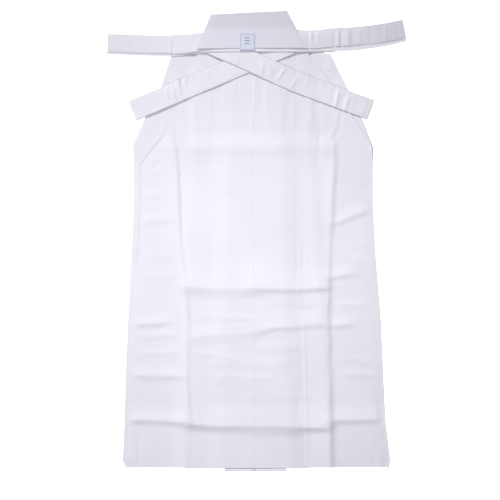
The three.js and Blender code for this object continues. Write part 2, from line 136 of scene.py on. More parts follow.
# The outline from hem to waist as in the solids, and the back's own edges and creases.
OUTLINE_COLUMNS = "y front_left back_left crease_left fold crease_right back_right front_right".split()
OUTLINE = dict(zip(OUTLINE_COLUMNS, np.array([
    [0, -288, -287.5, -153, -5.5, 162, 290.5, 291],
    [14, -295, -294.5, -153, -5.5, 162, 294, 294.5],
    [100, -291, -290.5, -149, -5.5, 161, 283.5, 284],
    [202, -288, -287.5, -154, -5.5, 159, 278.5, 279],
    [321, -283.5, -283, -152, -5.5, 156, 273.5, 274],
    [477, -275, -264, -167, -6.5, 159, 260.5, 261],
    [587, -270, -260, -173, -8.5, 165, 255.5, 256],
    [664, -270, -260, -178, -10, 170, 255.5, 256],
    [706, -272.5, -228, -182, -10, 170, 254, 256.5],
    [748, -255, -191, -185, -7, 170, 227, 240],
    [784, -238, -179, -179, -5, 168, 203, 224],
    [835, -211, -165, -170, -3.5, 160, 171, 199.5],
    [875, -198, -145, -160, -3.5, 150, 140, 179.5],
    [FRONT_LENGTH, -186, -130, -150, -3.5, 140, 113, 162.5],
    [BACK_LENGTH, -180, -121, -150, -3.5, 140, 99, 152],
]).T))

# Pressed creases, as crests with their own slope above and below.
Cross = namedtuple("Cross", "from_x to_x from_y to_y height above below")
CROSS_CREASES = [Cross(*row) for row in [
    # The lower cross crease, the middle one, the hip and the knee.
    (-158, -20, 92, 91, 4.8, 64, 19), (-20, 100, 91, 88, 5.4, 64, 28),
    (100, 162, 88, 88, 4.6, 60, 15), (-162, 20, 396, 391, 5, 74, 27),
    (20, 158, 391, 394, 4.2, 60, 13), (-160, 166, 704, 708, 3.4, 60, 34),
    (-150, 10, 286, 301, 2.4, 40, 30), (10, 152, 301, 318, 2.6, 36, 14),
    # Small ones at the left side, then at the right.
    (-285, -150, 104, 98, 3.4, 34, 14), (-270, -195, 314, 318, 2.6, 26, 12),
    (-270, -160, 201, 198, 2.2, 26, 14), (-262, -190, 539, 543, 1.4, 24, 12),
    (162, 286, 101, 104, 3.4, 34, 14), (160, 215, 312, 316, 2, 24, 12),
    (160, 215, 416, 424, 2.2, 26, 12), (165, 255, 537, 565, 2.4, 28, 14),
]]
CROSS_END = 24
Long = namedtuple("Long", "column height left right")
LONG_CREASES = [
    Long("crease_left", 3.0, 46, 12),
    Long("crease_right", 3.8, 60, 13),
]
CREST_FULLNESS = 0.7
CROSS_WANDER = 2.5
LONG_WANDER = 1.5
LEFT_HEM_SHARE = 0.35
LEFT_HEM_ROWS = (70, 120)
LOOSENESS = 0.8
HIGHEST_RELIEF = 7.5
DEEPEST_DETAIL = -0.5
LOOSE_DEPTH = 0.6
STACK_MARGIN = 6
LOWEST_FACE = -0.55
DETAIL_FADE = 4
RELIEF_TOP = 745
RELIEF_FADE = 50
SIDE_FADE = 26

# Finer creases of the back: straight strokes, raised or sunk, with a width and a wander.
Stroke = namedtuple("Stroke", "from_x from_y to_x to_y height width wander")
STROKES = [Stroke(*row) for row in [
    # Fine lines across, from the ties down to the hem.
    (-146, 750, 150, 752, 0.35, 6, 3), (-90, 748, -10, 746, -0.5, 8, 3),
    (-150, 676, 30, 672, 0.3, 4, 2), (-40, 664, 12, 663, 0.35, 2.5, 1),
    (60, 664, 78, 664, 0.3, 2.5, 1), (-148, 606, 88, 602, 0.4, 4, 3),
    (-60, 311, 96, 306, 0.4, 4, 2), (-140, 252, -30, 238, 0.5, 6, 4),
    (-110, 198, 40, 196, 0.45, 7, 4), (-90, 172, -10, 168, -0.6, 9, 4),
    (20, 150, 120, 160, 0.35, 7, 4),
    # Fine lines across the two sides.
    (-270, 288, -170, 290, 0.8, 7, 3), (-262, 252, -168, 254, 0.7, 6, 3),
    (-258, 425, -172, 420, 0.35, 7, 3), (-262, 640, -200, 655, 0.35, 8, 4),
    (176, 664, 236, 662, 0.4, 5, 2), (176, 357, 250, 360, 0.8, 7, 3),
    (176, 240, 262, 232, 0.6, 8, 4), (180, 202, 270, 205, 0.7, 8, 3),
    (180, 480, 250, 492, 0.4, 9, 4),
    # Upright lines right of the middle.
    (76, 676, 80, 520, 0.5, 2.2, 1), (80, 520, 102, 323, 0.45, 2.2, 1),
    (104, 330, 112, 4, 1.1, 2.4, 0.6), (87, 505, 90, 412, -1.1, 2.2, 1.5),
    (102, 488, 103, 424, -1, 2, 1), (86, 300, 88, 215, 0.4, 2.6, 1),
    (91, 164, 93, 104, -1.1, 2.2, 1), (140, 764, 137, 690, -1.2, 4, 2),
    (152, 700, 140, 640, 0.4, 6, 2),
    # Upright folds that start under the ties.
    (-3, 870, -4, 770, 0.6, 3.2, 1), (13, 868, 10, 780, -0.6, 3.5, 1),
    (24, 862, 22, 770, 0.4, 4, 1), (66, 800, 60, 720, -0.45, 5, 2),
    (84, 830, 80, 740, 0.5, 5, 2), (106, 830, 104, 760, -0.5, 5, 2),
    (124, 812, 118, 740, 0.5, 5, 2),
    # The corners of the hem.
    (-262, 62, -257, 0, -1.6, 3, 1.5), (-250, 58, -243, 6, 0.6, 5, 1.5),
    (268, 150, 286, 40, -1.2, 6, 3), (276, 100, 282, 6, 0.9, 5, 4),
    (248, 70, 270, 10, 0.6, 7, 4),
    # Below the left end of the right front tie.
    (-177, 800, -181, 700, -1.1, 5, 3), (-189, 796, -189, 730, 1, 5, 3),
    (-246, 706, -196, 738, -0.9, 4, 3), (-240, 722, -205, 744, 0.8, 5, 3),
    (-204, 720, -172, 700, 0.6, 7, 3),
    # The left opening and the foot of the left long crease.
    (-248, 642, -204, 680, -0.6, 6, 2), (-172, 716, -168, 636, -1.1, 3.2, 1),
    (-168, 650, -161, 490, -1.1, 3.2, 1),
    # Where the right long crease bends up under the tie.
    (167, 712, 180, 738, -1.1, 2.6, 0.5), (178, 730, 187, 776, -1.1, 2.6, 1),
    (186, 768, 192, 804, -1.1, 2.6, 0.5), (160, 722, 172, 746, 0.8, 3.2, 0.5),
    (171, 740, 179, 778, 0.9, 3.2, 1), (178, 772, 184, 804, 0.9, 3.2, 0.5),
    # The line along the left side, down to the hem.
    (-267, 505, -270, 330, -1, 1.8, 1.2), (-279, 292, -284, 20, -1.2, 1.8, 1),
    # Small folds at the right corner.
    (258, 60, 262, 2, -0.7, 6, 3), (280, 62, 290, 4, -0.6, 5, 3),
    # Broad soft dents.
    (-96, 232, 60, 222, 0.6, 10, 6), (-100, 140, 20, 136, -0.8, 12, 5),
    (-30, 268, 110, 258, 0.7, 10, 5), (-140, 330, 20, 322, 0.7, 9, 4),
    (30, 350, 140, 344, -0.6, 9, 4), (182, 640, 250, 600, -0.7, 12, 5),
    (180, 470, 236, 452, 0.8, 10, 4), (-262, 470, -176, 462, 0.6, 9, 4),
    (-258, 590, -196, 612, 0.7, 9, 4),
]]

# Ties.
BACK_TIE_WIDTH = 40
FRONT_TIE_WIDTH = 45
BACK_TIE_THICKNESS = 0.62
FRONT_TIE_THICKNESS = 0.38
TIE_GAP = 0.08
TIE_CREASE_SCALE = 3.4
TOP_LIFT = 0.25
BAND_THICKNESS = 0.9
BAND_GAP = 0.04

# Wrinkles of the layers that show.
TIE_CREASES = [Stroke(*row) for row in [
    # On the right front tie.
    (-195, 842, -196, 806, 1.1, 2.2, 1), (-182, 806, -173, 868, 1.1, 2.4, 3),
    (-187, 812, -185, 850, 0.8, 2.2, 2), (-172, 868, -166, 815, 0.95, 2.6, 2),
    (-154, 872, -160, 836, 0.7, 3, 1.5), (-128, 872, -140, 838, -0.3, 3, 1.5),
    (-100, 884, -112, 850, 0.3, 3.5, 1.5), (-75, 892, -86, 868, -0.25, 3, 1.5),
    (-40, 905, -46, 880, 0.25, 3, 1), (-252, 800, -246, 772, 0.3, 5, 2),
    # On the left front tie.
    (37, 856, 55, 880, -0.6, 2.2, 1), (46, 852, 62, 875, 0.5, 2.6, 1),
    (54, 855, 71, 872, -0.45, 2.2, 1), (62, 890, 84, 887, 0.4, 2.4, 1.5),
    (84, 887, 88, 852, -0.55, 2.6, 2), (88, 852, 76, 834, 0.45, 3, 1.5),
    (5, 900, 7, 866, -0.7, 2, 1), (11, 892, 13, 862, 0.5, 2.4, 1),
    (20, 886, 18, 858, -0.35, 2.4, 1), (28, 878, 30, 852, 0.3, 3, 1),
    (110, 838, 116, 868, 0.25, 4, 1), (132, 824, 138, 850, -0.25, 4, 1),
    (167, 792, 174, 840, -1, 2.4, 2), (173, 788, 182, 832, 0.8, 2.6, 2),
    (185, 782, 195, 824, -0.9, 2.4, 2), (192, 780, 203, 818, 0.6, 2.6, 2),
    (214, 774, 224, 812, -0.3, 3.5, 2), (232, 768, 243, 806, 0.3, 3.5, 2),
    # On the back ties: their folds' seams, then the wrinkles.
    (-184.5, 952, -183.5, 904, -0.9, 1.5, 0.4), (-324, 956, -324, 910, -0.5, 1.2, 0.3),
    (319, 990, 321.5, 938, -0.5, 1.2, 0.3), (-190, 950, -189, 906, 0.45, 3, 0.6),
    (-282, 950, -281, 906, 0.25, 2.4, 0.6), (-318, 950, -320, 912, 0.3, 4, 1),
    (113, 958, 115, 918, -0.7, 1.8, 1.5), (118, 956, 122, 940, 0.6, 2.2, 1),
    (126, 956, 128, 936, -0.4, 2.4, 1), (134, 956, 136, 934, 0.25, 3, 1),
    (170, 962, 172, 922, -0.6, 2.2, 1), (177, 962, 180, 922, 0.7, 2.8, 1),
    (186, 964, 187, 922, -0.6, 2.4, 1), (200, 966, 204, 926, 0.5, 3.5, 1.5),
    (211, 966, 212, 928, -0.35, 3, 1.5), (226, 966, 229, 928, 0.3, 3.5, 1.5),
    (250, 968, 251, 930, -0.25, 4, 1.5), (283, 974, 285, 934, 0.3, 3, 1),
    (308, 982, 313, 940, -0.4, 3, 1),
]]


def place(points):
    """Millimetres in the garment's plan as metres in the row frame."""
    moved = np.array(points, float)
    moved[..., 0] += ORIGIN_X
    moved[..., 1] += ORIGIN_Y
    return moved * MM


def smooth(value, low, high):
    t = np.clip((np.asarray(value, float) - low) / (high - low), 0, 1)
    return t * t * (3 - 2 * t)


def lerp(a, b, t):
    return a + (b - a) * t


def soft_noise(x, y, cell_x, cell_y, seed):
    """Smooth seeded noise from -1 to 1, with its own grain across and along."""
    size = 64
    table = np.random.default_rng(seed).uniform(-1, 1, (size, size))
    gx = np.asarray(x, float) / cell_x
    gy = np.asarray(y, float) / cell_y
    ix = np.floor(gx).astype(int)
    iy = np.floor(gy).astype(int)
    tx = smooth(gx - ix, 0, 1)
    ty = smooth(gy - iy, 0, 1)

    def corner(a, b):
        return table[(ix + a) % size, (iy + b) % size]

    return lerp(lerp(corner(0, 0), corner(1, 0), tx), lerp(corner(0, 1), corner(1, 1), tx), ty)


def outline(column, y):
    return np.interp(y, OUTLINE["y"], OUTLINE[column])


def from_edge(x, y):
    """How far inside the back's nearer side edge a point lies."""
    return np.minimum(x - outline("back_left", y), outline("back_right", y) - x)


def level_height(level):
    return WALL / 2 + np.asarray(level, float) * PITCH


def pleat_edge(pleat, y):
    return lerp(pleat.hem, pleat.waist, y / FRONT_LENGTH)


def pleat_depth(y):
    return lerp(PLEAT_DEPTH_HEM, PLEAT_DEPTH_WAIST, y / FRONT_LENGTH)


def underlay_half(y):
    return lerp(UNDERLAY_HALF_HEM, UNDERLAY_HALF_WAIST, y / BACK_LENGTH)


def crest(distance, height, before, after):
    """A crest with its own slope on each side and a soft top and feet."""
    fall = np.maximum(distance / after, -distance / before)
    tent = np.clip(1 - fall, 0, 1)
    return height * tent * tent * (1 + CREST_FULLNESS - CREST_FULLNESS * tent)


def relief(x, y):
    """How far the back stands off what it lies on, by its looseness and its pressed creases."""
    height = np.full(np.broadcast(x, y).shape, LOOSENESS)
    wander = CROSS_WANDER * soft_noise(x, y, 45, 60, 11)
    for crease in CROSS_CREASES:
        along = np.clip((x - crease.from_x) / (crease.to_x - crease.from_x), 0, 1)
        line = lerp(crease.from_y, crease.to_y, along)
        strength = smooth(np.minimum(x - crease.from_x, crease.to_x - x), -CROSS_END, CROSS_END)
        uneven = 0.85 + 0.3 * soft_noise(x, y, 55, 400, 12)
        top = crease.height * strength * uneven
        height = height + crest(y - line + wander, top, crease.below, crease.above)
    for crease in LONG_CREASES:
        uneven = 0.85 + 0.35 * soft_noise(x, y, 400, 70, 13)
        if crease.column == "crease_left":
            uneven = uneven * (LEFT_HEM_SHARE + (1 - LEFT_HEM_SHARE) * smooth(y, *LEFT_HEM_ROWS))
        offset = x - outline(crease.column, y) + LONG_WANDER * soft_noise(x, y, 300, 34, 14)
        height = height + crest(offset, crease.height * uneven, crease.left, crease.right)
    calm = 1 - smooth(y, RELIEF_TOP - RELIEF_FADE, RELIEF_TOP)
    return np.minimum(height, HIGHEST_RELIEF) * smooth(from_edge(x, y), 0, SIDE_FADE) * calm


def stroke_height(stroke, x, y):
    """A straight ridge or trough with a round section, which fades at both ends."""
    run = np.array([stroke.to_x - stroke.from_x, stroke.to_y - stroke.from_y], float)
    length = np.hypot(*run)
    run /= length
    along = (x - stroke.from_x) * run[0] + (y - stroke.from_y) * run[1]
    seed = int(abs(stroke.from_x) * 7 + abs(stroke.from_y))
    across = (x - stroke.from_x) * run[1] - (y - stroke.from_y) * run[0]
    across = across + stroke.wander * soft_noise(along, along * 0, 22, 22, seed)
    taper = min(0.3 * length, 18)
    ends = smooth(along, -taper * 0.3, taper) * smooth(length - along, -taper * 0.3, taper)
    return stroke.height * ends * np.exp(-((across / stroke.width) ** 2))


def face_detail(x, y):
    """The back's finer unevenness: slow waves, small puckers and the strokes."""
    waves = 0.34 * soft_noise(x, y, 60, 85, 21) + 0.16 * soft_noise(x, y, 24, 34, 22)
    puckers = 0.06 * soft_noise(x, y, 9, 14, 23)
    drawn = 0.28 * soft_noise(x, y, 8, 70, 24) * smooth(y, 640, 800)
    total = waves + puckers + drawn
    for stroke in STROKES:
        total = total + stroke_height(stroke, x, y)
    return total * smooth(from_edge(x, y), 0, DETAIL_FADE)


def plateau_edge(sign, y):
    """Where the front's outermost pleat ends on one side."""
    outer = PLEATS[2] if sign > 0 else PLEATS[4]
    return pleat_edge(outer, y) + sign * (pleat_depth(y) + EDGE_CLEARANCE)


def face_level(x, y):
    """How many layers lie under the back's face, with soft ramps between."""
    sign = np.where(x < UNDERLAY_CENTRE, -1, 1)
    plateau = np.where(sign > 0, plateau_edge(1, y), plateau_edge(-1, y))
    to_plateau = sign * (plateau - x) + PLATEAU_RAMP
    to_stack = sign * (UNDERLAY_CENTRE - x) + underlay_half(y) + EDGE_CLEARANCE + STACK_RAMP
    climb = smooth(to_plateau, 0, PLATEAU_RAMP)
    stack = smooth(to_stack, 0, STACK_RAMP)
    return SIDE_LEVEL + (PLATEAU_LEVEL - SIDE_LEVEL) * climb + (STACK_LEVEL - PLATEAU_LEVEL) * stack


def edge_lift(lift, edge, y):
    share = smooth(y, *lift.starts)
    if lift.ends:
        share = share * (1 - smooth(y, *lift.ends))
    return lift.height * (1 - smooth(edge, 0, lift.run)) * share


def back_top(x, y):
    """The height of the back's face, its centre surface."""
    edge = from_edge(x, y)
    loose = relief(x, y)
    stacked = np.abs(x - UNDERLAY_CENTRE) < underlay_half(y) + STACK_MARGIN
    deepest = np.where(stacked, DEEPEST_DETAIL, DEEPEST_DETAIL - LOOSE_DEPTH * loose)
    detail = np.maximum(face_detail(x, y), deepest)
    seam = -EDGE_SINK * (1 - smooth(edge, 0, EDGE_SINK_RUN))
    seam = seam + (x > 0) * edge_lift(RIGHT_LIFT, edge, y) + (x < 0) * edge_lift(LEFT_LIFT, edge, y)
    seam = seam - CORNER_DROP * smooth(x, *CORNER_COLUMNS) * (1 - smooth(y, *CORNER_ROWS))
    past = x - outline("fold", y)
    ridge = FOLD_RIDGE * np.where(past < 0, 1 - smooth(-past, 0, FOLD_RIDGE_RUN), 0)
    return level_height(face_level(x, y)) + np.maximum(loose + detail + seam + ridge, LOWEST_FACE)


class Section:
    """Columns of a folded panel, row by row: each column is an x and a z for every row's y."""

    def __init__(self, y, x, z):
        self.y = y
        self.x, self.z, self.drop = [], [], []
        self.add(x, z)

    def add(self, x, z, drop=0.0):
        self.x.append(np.broadcast_to(x, self.y.shape).astype(float))
        self.z.append(np.broadcast_to(z, self.y.shape).astype(float))
        self.drop.append(np.full_like(self.y, drop))

    def line(self, x, z, steps, drop=0.0):
        x0, z0 = self.x[-1], self.z[-1]
        for k in range(1, steps + 1):
            self.add(lerp(x0, x, k / steps), lerp(z0, z, smooth(k / steps, 0, 1)), drop)

    def square_turn(self, x, sign, z, corner):
        """A pressed fold with two sharp corners whose outer face reaches x."""
        start = self.z[-1]
        wall = x - sign * SHELL / 2
        down = np.sign(z - start) * corner
        for place_x, place_z in [
            (wall - sign * corner, start), (wall, start), (wall, start + down),
            (wall, z - down), (wall, z), (wall - sign * corner, z),
        ]:
            self.add(place_x, place_z)

    def turn(self, x, sign, z, drop=0.0):
        """The half round whose outer face reaches x, from the last column's height to z."""
        start = self.z[-1]
        radius = np.abs(z - start) / 2
        centre = x - sign * (SHELL / 2 + radius)
        self.line(centre, start, 1, drop)
        for k in range(1, TURN_STEPS + 1):
            angle = math.pi * k / TURN_STEPS
            turned = start + (z - start) * (1 - math.cos(angle)) / 2
            self.add(centre + sign * radius * math.sin(angle), turned, drop)

    def points(self, bow=0.0):
        """The grid of points, its hem bowed down and its dropped columns reaching below it."""
        x = np.stack(self.x, 1)
        z = np.stack(self.z, 1)
        first = 1 - smooth(self.y, 0, HEM_RUN)[:, None]
        sag = bow * smooth(x, *HEM_BOW_LEFT) * (1 - smooth(x, *HEM_BOW_RIGHT))
        drop = np.stack(self.drop, 1)
        y = np.broadcast_to(self.y[:, None], x.shape) - (drop + sag) * first
        z = z + UNDERLAY_LIFT * (1 - smooth(y + sag, *UNDERLAY_LIFT_ROWS)) * (drop > 0)
        return np.stack([x, y, z], -1)


def add_object(name, data):
    obj = bpy.data.objects.new(name, data)
    bpy.context.scene.collection.objects.link(obj)
    return obj


def new_object(name, vertices, faces, uv):
    """A smooth mesh from points, with the cloth's own coordinates at each, all in millimetres."""
    mesh = bpy.data.meshes.new(name)
    mesh.from_pydata(place(vertices).tolist(), [], faces)
    layer = mesh.uv_layers.new(name="cloth")
    loops = np.zeros(len(mesh.loops), int)
    mesh.loops.foreach_get("vertex_index", loops)
    layer.data.foreach_set("uv", (uv[loops] * MM).astype(np.float32).ravel())
    mesh.shade_smooth()
    mesh.update()
    return add_object(name, mesh)


def grid_faces(rows, columns, offset=0, flip=False):
    i, j = np.meshgrid(np.arange(rows - 1), np.arange(columns - 1), indexing="ij")
    a = (i * columns + j).ravel() + offset
    quads = np.stack([a, a + 1, a + columns + 1, a + columns], 1)
    return quads[:, ::-1] if flip else quads


def cloth_lengths(points):
    """Distances along a grid's columns and rows, as the cloth's own coordinates."""
    u = np.zeros(points.shape[:2])
    v = np.zeros(points.shape[:2])
    u[:, 1:] = np.cumsum(np.linalg.norm(np.diff(points, axis=1), axis=-1), 1)
    v[1:, :] = np.cumsum(np.linalg.norm(np.diff(points, axis=0), axis=-1), 0)
    return np.stack([u, v], -1)


def sheet_object(name, points, even):
    """A panel as a shell round its centre surface."""
    rows, columns = points.shape[:2]
    uv = cloth_lengths(points)
    obj = new_object(name, points.reshape(-1, 3), grid_faces(rows, columns).tolist(), uv.reshape(-1, 2))
    shell = obj.modifiers.new("thickness", "SOLIDIFY")
    shell.thickness = SHELL * MM
    shell.offset = 0
    shell.use_even_offset = even
    return obj


def fold_pleat(section, edge, sign, low, steps=8):
    """From the top layer down: out to the pleat's depth, back under itself and down at its edge."""
    depth = pleat_depth(section.y)
    section.line(edge + sign * (depth - PLEAT_FOOT), level_height(2), steps)
    section.turn(edge + sign * depth, sign, level_height(1))
    section.line(edge + sign * PLEAT_FOOT, level_height(1), 6)
    section.turn(edge, -sign, low)


def add_front_pleat(section, pleat, sign, low):
    edge = pleat_edge(pleat, section.y)
    section.line(edge - sign * RAMP_RUN, low, 12)
    section.line(edge - sign * EDGE_CLEARANCE, level_height(2), 5)
    fold_pleat(section, edge, sign, low)


def front_points(side, y):
    """The front half of one leg, folded into its pleats, the outside face down."""
    low = level_height(0) - FRONT_SINK
    centre = pleat_edge(PLEATS[0], y)
    pleats = [pleat for pleat in PLEATS if pleat.side == side]
    if side == "right":
        section = Section(y, centre + SEAM_INSET + GAP, level_height(2))
        fold_pleat(section, centre, 1, low, steps=6)
        for pleat in pleats[1:]:
            add_front_pleat(section, pleat, 1, low)
    else:
        section = Section(y, centre + SEAM_INSET, level_height(2))
        section.line(centre - EDGE_CLEARANCE, level_height(2), 6)
        section.line(centre - RAMP_RUN, low, 5)
        for pleat in pleats:
            add_front_pleat(section, pleat, -1, low)
    section.line(outline(f"front_{side}", y), low, 54)
    points = section.points()
    x, y = points[..., 0], points[..., 1]
    bare = -from_edge(x, y)
    lift = smooth(bare, *BARE_RANGE) * (0.5 + 0.5 * soft_noise(x, y, 18, 26, 31))
    points[..., 2] += BARE_LIFT * lift * smooth(y, *BARE_ROWS) + BARE_SEAM * smooth(bare, *BARE_SEAM_RANGE)
    return points


def back_points(side, y):
    """The back half of one leg: its face, turned under at the centre, and its share of the underlay."""
    sign = -1 if side == "left" else 1
    edge = outline(f"back_{side}", y)
    fold = outline("fold", y) + sign * FOLD_GAP / 2
    half = underlay_half(y)
    section = Section(y, edge, back_top(edge, y))
    inner = edge - sign * EDGE_COLUMN
    section.add(inner, back_top(inner, y))
    stop = fold + sign * FOLD_STOP
    for k in range(1, BACK_COLUMNS + 1):
        x = lerp(inner, stop, k / BACK_COLUMNS)
        section.add(x, back_top(x, y))
    under = level_height(STACK_LEVEL - 1)
    lowest = level_height(UNDERLAY_LEVEL)
    section.square_turn(fold, -sign, under + relief(fold, y), FOLD_CORNER)

    def run(start, end, height, drop=0.0):
        for k in range(1, UNDERLAY_COLUMNS + 1):
            x = lerp(start, end, k / UNDERLAY_COLUMNS)
            section.add(x, height + relief(x, y), drop)

    run(fold + sign * PLEAT_FOOT, UNDERLAY_CENTRE + sign * (half - PLEAT_FOOT), under)
    far = UNDERLAY_CENTRE + sign * half
    section.turn(far, sign, lowest + relief(far, y), UNDERLAY_DROP)
    run(far - sign * PLEAT_FOOT, UNDERLAY_CENTRE + sign * GAP / 2, lowest, UNDERLAY_DROP)
    return section.points(HEM_BOW)


# The pile of what lies on the surface, as a map of heights that each new layer rests on.
CELL = 2.0
MAP_X = -345.0
MAP_Y = -15.0
MAP_SHAPE = (346, 520)
pile = np.zeros(MAP_SHAPE)


def pile_panels():
    """Puts the panels and the waistband on the map."""
    x = MAP_X + CELL * np.arange(MAP_SHAPE[0])[:, None]
    y = MAP_Y + CELL * np.arange(MAP_SHAPE[1])[None, :]

    def covered(side, length):
        inside = (x >= outline(side + "_left", y)) & (x <= outline(side + "_right", y))
        return (y >= 0) & (y <= length) & inside

    on_front = covered("front", FRONT_LENGTH)
    on_pleats = on_front & (x > plateau_edge(-1, y)) & (x < plateau_edge(1, y))
    on_back = covered("back", BACK_LENGTH)
    on_band = (y > BAND_BOTTOM) & (y < BAND_BOTTOM + BAND_WIDTH) & (x > BAND_LEFT) & (x < BAND_RIGHT)
    for mask, top in [
        (on_front, level_height(0) + SHELL),
        (on_pleats, level_height(2) + SHELL / 2),
        (on_back, back_top(x, y) + SHELL / 2),
        (on_band, BAND_THICKNESS + 0.1),
    ]:
        np.maximum(pile, np.where(mask, top, 0), out=pile)


def map_index(x, y):
    ix = np.clip(((x - MAP_X) / CELL).round().astype(int), 1, MAP_SHAPE[0] - 2)
    iy = np.clip(((y - MAP_Y) / CELL).round().astype(int), 1, MAP_SHAPE[1] - 2)
    return ix, iy


def pile_height(x, y):
    """The highest point of the pile in the nine cells round each point."""
    ix, iy = map_index(x, y)
    steps = (-1, 0, 1)
    return np.max([pile[ix + a, iy + b] for a in steps for b in steps], axis=0)


def refined(points, factor):
    """The same grid with more points between, for filling the map without holes."""
    rows, columns = points.shape[:2]
    across = np.linspace(0, columns - 1, (columns - 1) * factor + 1)
    along = np.linspace(0, rows - 1, (rows - 1) * 2 + 1)
    out = np.empty((len(along), len(across), points.shape[2]))
    for k in range(points.shape[2]):
        wide = np.array([np.interp(across, np.arange(columns), row) for row in points[..., k]])
        out[..., k] = np.array([np.interp(along, np.arange(rows), column) for column in wide.T]).T
    return out


def add_to_pile(points, thickness):
    fine = refined(points, 4)
    ix, iy = map_index(fine[..., 0], fine[..., 1])
    np.maximum.at(pile, (ix, iy), fine[..., 2] + thickness / 2)


# A tie's rows along it, its rest on the bare floor, and how layers ruffle and settle.
STATION = 2.6
ON_FLOOR = 0.01
FLOOR_GAP = 0.05
HIDDEN_RUFFLE = 0.08
SHOWN_RUFFLE = 0.45
LIMP = {"stiffness": 0.25, "settle": 50}
GROOVE = 0.861
# Places across a tie, from -1 to 1: its rounded edges, the sunk line of stitching and the middle.
ACROSS = np.array([1.0, 0.988, 0.955, 0.9, GROOVE, 0.82, 0.62, 0.32, 0.0])
ACROSS = np.concatenate([-ACROSS, ACROSS[-2::-1]])
THICK = np.array([0.0, 0.5, 0.86, 1.0, 0.5, 1.0, 1.04, 1.06, 1.06])
THICK = np.concatenate([THICK, THICK[-2::-1]])


def smooth_route(route):
    """Points every STATION along a route, rounded at its corners."""
    route = np.array(route, float)
    steps = np.linalg.norm(np.diff(route, axis=0), axis=1)
    reach = np.concatenate([[0], np.cumsum(steps)])
    count = max(4, int(reach[-1] / STATION))
    along = np.linspace(0, reach[-1], count + 1)
    line = np.stack([np.interp(along, reach, route[:, k]) for k in range(2)], 1)
    for _ in range(60 if len(route) > 2 else 0):
        line[1:-1] = (line[:-2] + 2 * line[1:-1] + line[2:]) / 4
    return line


def lay_layer(route, width, thickness, ruffle, seed, reverse=False, stiffness=0.75, settle=160):
    """One layer of a tie, draped on the pile. Its across direction stays the same when it runs back."""
    line = smooth_route(route)
    run = np.gradient(line, axis=0)
    run /= np.linalg.norm(run, axis=1)[:, None]
    side = np.stack([-run[:, 1], run[:, 0]], 1) * (-1 if reverse else 1)
    plan = line[:, None, :] + side[:, None, :] * ACROSS[None, :, None] * (width / 2)
    x, y = plan[..., 0], plan[..., 1]
    under = pile_height(x, y)
    least = thickness / 2 + np.where(under <= ON_FLOOR, FLOOR_GAP, under + TIE_GAP)
    level = np.repeat(least.max(axis=1)[:, None], least.shape[1], 1)
    z = lerp(least, level, stiffness)
    for _ in range(settle):
        z[1:-1] = (z[:-2] + 2 * z[1:-1] + z[2:]) / 4
        z = np.maximum(z, least)
    for _ in range(6):
        z[1:-1] = (z[:-2] + 2 * z[1:-1] + z[2:]) / 4
    along = np.arange(len(line)) * STATION
    crumple = soft_noise(along[:, None], ACROSS[None, :] * width, 16, 60, seed)
    fine = soft_noise(along[:, None], ACROSS[None, :] * width, 7, 20, seed + 1)
    inner = smooth(np.minimum(along, along[-1] - along), 4, 20)[:, None]
    z = z + ruffle * inner * (0.5 + 0.5 * crumple) + 0.12 * ruffle * inner * fine
    if ruffle >= SHOWN_RUFFLE:
        creases = sum(stroke_height(crease, x, y) for crease in TIE_CREASES)
        z = np.maximum(z + inner * (TOP_LIFT + TIE_CREASE_SCALE * creases), least)
    points = np.dstack([x, y, z])
    add_to_pile(points, thickness)
    return points


def fold_between(first, second):
    """The half round that joins one layer's end to the next layer's start."""
    start, end = first[-1], second[0]
    outward = first[-1, :, :2] - first[-3, :, :2]
    outward /= np.linalg.norm(outward, axis=1)[:, None]
    radius = np.abs(end[:, 2] - start[:, 2]) / 2
    rows = []
    for k in range(1, TURN_STEPS):
        angle = math.pi * k / TURN_STEPS
        share = (1 - math.cos(angle)) / 2
        row = lerp(start, end, share)
        row[:, :2] += outward * (radius * math.sin(angle))[:, None]
        rows.append(row)
    return np.array(rows)


def unit(vectors):
    return vectors / np.maximum(np.linalg.norm(vectors, axis=-1, keepdims=True), 1e-9)


def tube_object(name, centre, thickness):
    """A flat closed tube round rows of points across it."""
    half = (THICK * thickness / 2)[None, :, None]
    steps = np.diff(centre, axis=0)
    into = unit(np.concatenate([steps[:1], steps]))
    out = unit(np.concatenate([steps, steps[-1:]]))
    across = unit(np.repeat((centre[:, -1:] - centre[:, :1]), centre.shape[1], 1))
    normal = unit(np.cross(unit(into + out), across))
    upper = centre + normal * half
    lower = (centre - normal * half)[:, -2:0:-1]
    ring = np.concatenate([upper, lower], 1)
    rows, columns = ring.shape[:2]
    faces = grid_faces(rows, columns).tolist()
    for i in range(rows - 1):
        a = i * columns + columns - 1
        faces.append([a, i * columns, (i + 1) * columns, a + columns])
    faces.append(list(range(columns))[::-1])
    faces.append([(rows - 1) * columns + k for k in range(columns)])
    length = np.zeros(rows)
    length[1:] = np.cumsum(np.linalg.norm(np.diff(centre[:, len(ACROSS) // 2], axis=0), axis=-1))
    width = np.linalg.norm(centre[0, -1] - centre[0, 0])
    places = np.concatenate([ACROSS, ACROSS[-2:0:-1]]) * width / 2
    uv = np.stack(np.broadcast_arrays(places[None, :], length[:, None]), -1)
    obj = new_object(name, ring.reshape(-1, 3), faces, uv.reshape(-1, 2))
    obj["length_mm"] = float(length[-1])
    return obj


def tie_object(name, layers, thickness):
    rows = [layers[0]]
    for before, after in zip(layers, layers[1:]):
        rows.append(fold_between(before, after))
        rows.append(after)
    return tube_object(name, np.concatenate(rows), thickness)


